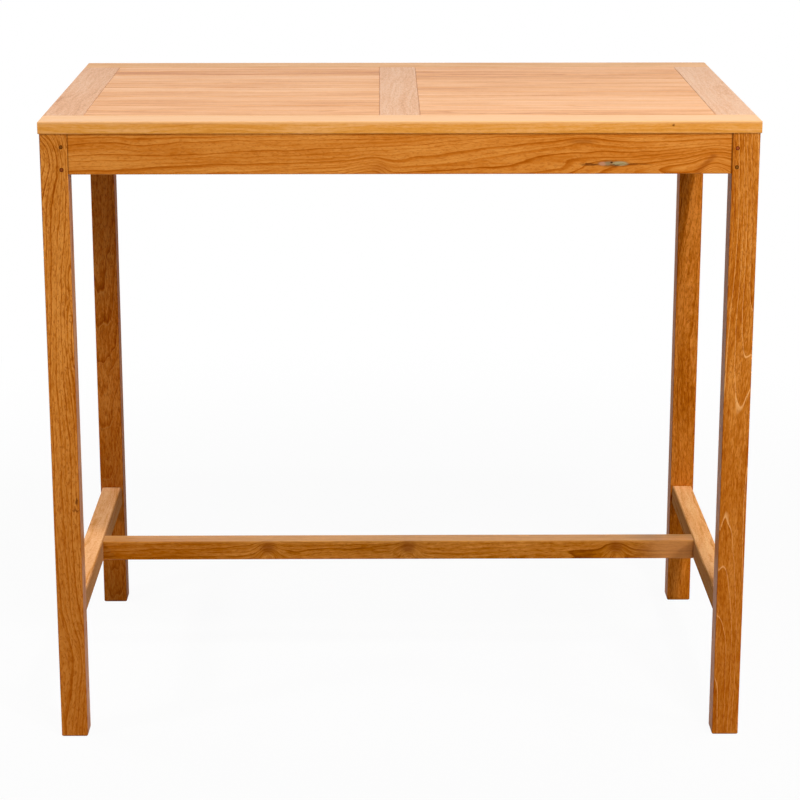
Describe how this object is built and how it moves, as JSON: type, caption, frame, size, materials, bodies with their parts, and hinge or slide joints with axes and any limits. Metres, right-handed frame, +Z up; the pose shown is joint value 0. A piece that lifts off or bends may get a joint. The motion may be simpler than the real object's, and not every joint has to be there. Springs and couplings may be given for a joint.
{
  "type": "bar table",
  "caption": "Tall rectangular teak table with a framed slatted top, square pegged legs, aprons and an H-shaped stretcher, for use with bar stools.",
  "frame": {"origin": "centre of the table's footprint, on the floor", "axes": "+X along the table to its right, +Y from the front to the back, +Z up"},
  "size_m": [1.2, 0.75, 1.093],
  "materials": {
    "leg_wood": "oiled teak, straight grain up the leg",
    "apron_wood": "oiled teak, grain along the apron",
    "stretcher_wood": "oiled teak, grain along the bar",
    "rail_wood": "sanded teak, grain along the rail",
    "end_board_wood": "sanded teak, grain from front to back",
    "centre_board_wood": "sanded teak, grain from front to back",
    "slat_wood": "sanded teak, grain along the slat",
    "hidden_wood": "planed teak",
    "peg_end_grain": "teak end grain",
    "screw_steel": "plain stainless steel"
  },
  "bodies": {
    "root": {"apron_back": "apron_wood", "apron_front": "apron_wood", "apron_left": "apron_wood", "apron_pegs_back": "peg_end_grain", "apron_pegs_front": "peg_end_grain", "apron_pegs_left": "peg_end_grain", "apron_pegs_right": "peg_end_grain", "apron_right": "apron_wood", "batten_back": "hidden_wood", "batten_front": "hidden_wood", "batten_left": "hidden_wood", "batten_right": "hidden_wood", "batten_screws_back": "screw_steel", "batten_screws_front": "screw_steel", "batten_screws_left": "screw_steel", "batten_screws_right": "screw_steel", "bearer_screws": "screw_steel", "centre_bearer": "hidden_wood", "centre_board": "centre_board_wood", "centre_stretcher": "stretcher_wood", "centre_stretcher_pegs": "peg_end_grain", "end_board_left": "end_board_wood", "end_board_right": "end_board_wood", "leg_back_left": "leg_wood", "leg_back_right": "leg_wood", "leg_front_left": "leg_wood", "leg_front_right": "leg_wood", "side_stretcher_left": "stretcher_wood", "side_stretcher_pegs_left": "peg_end_grain", "side_stretcher_pegs_right": "peg_end_grain", "side_stretcher_right": "stretcher_wood", "slat_left_01": "slat_wood", "slat_left_02": "slat_wood", "slat_left_03": "slat_wood", "slat_left_04": "slat_wood", "slat_left_05": "slat_wood", "slat_left_06": "slat_wood", "slat_left_07": "slat_wood", "slat_left_08": "slat_wood", "slat_left_09": "slat_wood", "slat_left_10": "slat_wood", "slat_left_11": "slat_wood", "slat_right_01": "slat_wood", "slat_right_02": "slat_wood", "slat_right_03": "slat_wood", "slat_right_04": "slat_wood", "slat_right_05": "slat_wood", "slat_right_06": "slat_wood", "slat_right_07": "slat_wood", "slat_right_08": "slat_wood", "slat_right_09": "slat_wood", "slat_right_10": "slat_wood", "slat_right_11": "slat_wood", "top_rail_back": "rail_wood", "top_rail_front": "rail_wood", "top_rail_pegs_back": "peg_end_grain", "top_rail_pegs_front": "peg_end_grain"}
  },
  "joints": []
}
